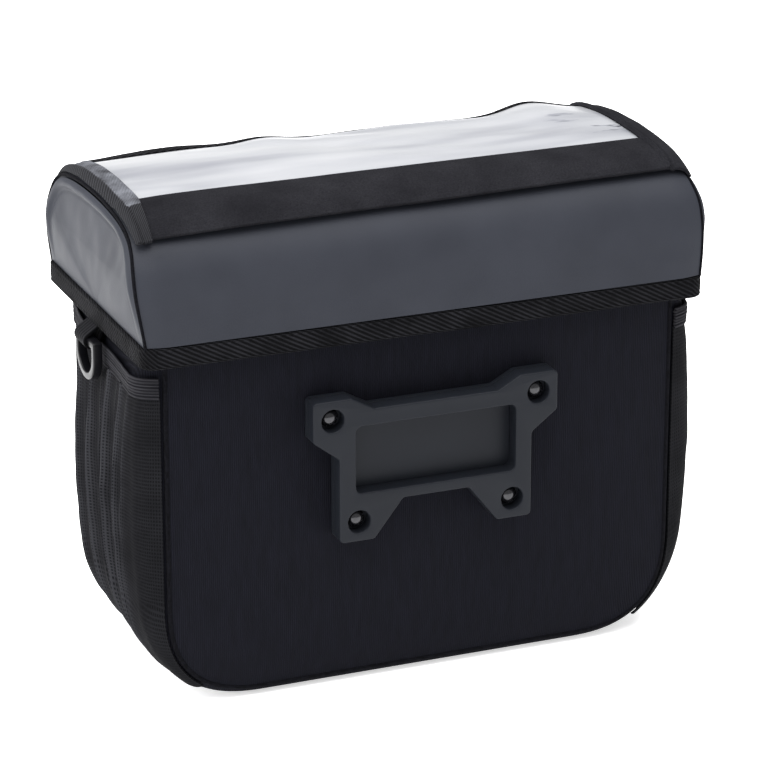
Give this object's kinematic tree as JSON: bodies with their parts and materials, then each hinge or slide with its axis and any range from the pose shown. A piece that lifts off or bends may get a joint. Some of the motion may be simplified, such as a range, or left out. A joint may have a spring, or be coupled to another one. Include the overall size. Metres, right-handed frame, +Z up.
{
  "type": "bicycle handlebar bag",
  "caption": "Soft box-shaped bicycle handlebar bag with a padded lid, a clear map window, mesh side pockets and a moulded mounting plate.",
  "frame": {"origin": "centre of the bag's flat base, on the surface it stands on", "axes": "+X to the rider's right along the bag's width, -Y towards the rider (the side with the mounting plate), +Z up"},
  "size_m": [0.2844, 0.1457, 0.2347],
  "materials": {
    "panel_cloth": "matt woven polyester, near black",
    "lid_cloth": "smooth coated cloth, slate grey, soft sheen",
    "pocket_mesh": "fine knitted mesh, dark grey",
    "tape": "ribbed woven tape, black",
    "window_film": "clear soft film, milky, glossy, wavy",
    "plate_plastic": "moulded, fine satin, dark grey",
    "ring_plastic": "moulded, glossy, black",
    "screw_black": "glossy black domed heads"
  },
  "bodies": {
    "bag": {"back_panel": "panel_cloth", "front_panel": "panel_cloth", "gusset": "panel_cloth", "lid_cover": "lid_cloth", "lid_end_left": "lid_cloth", "lid_end_right": "lid_cloth", "lid_hem": "tape", "lid_hinge": "panel_cloth", "lid_piping_left": "tape", "lid_piping_right": "tape", "map_binding_far": "tape", "map_binding_left": "tape", "map_strip_near": "panel_cloth", "map_strip_right": "panel_cloth", "map_window": "window_film", "mount_plate": "plate_plastic", "piping_back": "tape", "piping_front": "tape", "pocket_hem_left": "tape", "pocket_hem_right": "tape", "ring_tab_left": "tape", "ring_tab_right": "tape", "screw_low_left": "screw_black", "screw_low_right": "screw_black", "screw_top_left": "screw_black", "screw_top_right": "screw_black", "side_pocket_left": "pocket_mesh", "side_pocket_right": "pocket_mesh"},
    "ring_left": {"d_ring_left": "ring_plastic"},
    "ring_right": {"d_ring_right": "ring_plastic"}
  },
  "joints": [
    {"name": "ring_left_swing", "type": "hinge", "parent": "bag", "child": "ring_left", "pos_m": [-0.13839, 0, 0.161], "axis": [0, 1, 0], "range_deg": [0, 90]},
    {"name": "ring_right_swing", "type": "hinge", "parent": "bag", "child": "ring_right", "pos_m": [0.13839, 0, 0.161], "axis": [0, -1, 0], "range_deg": [0, 90]}
  ]
}
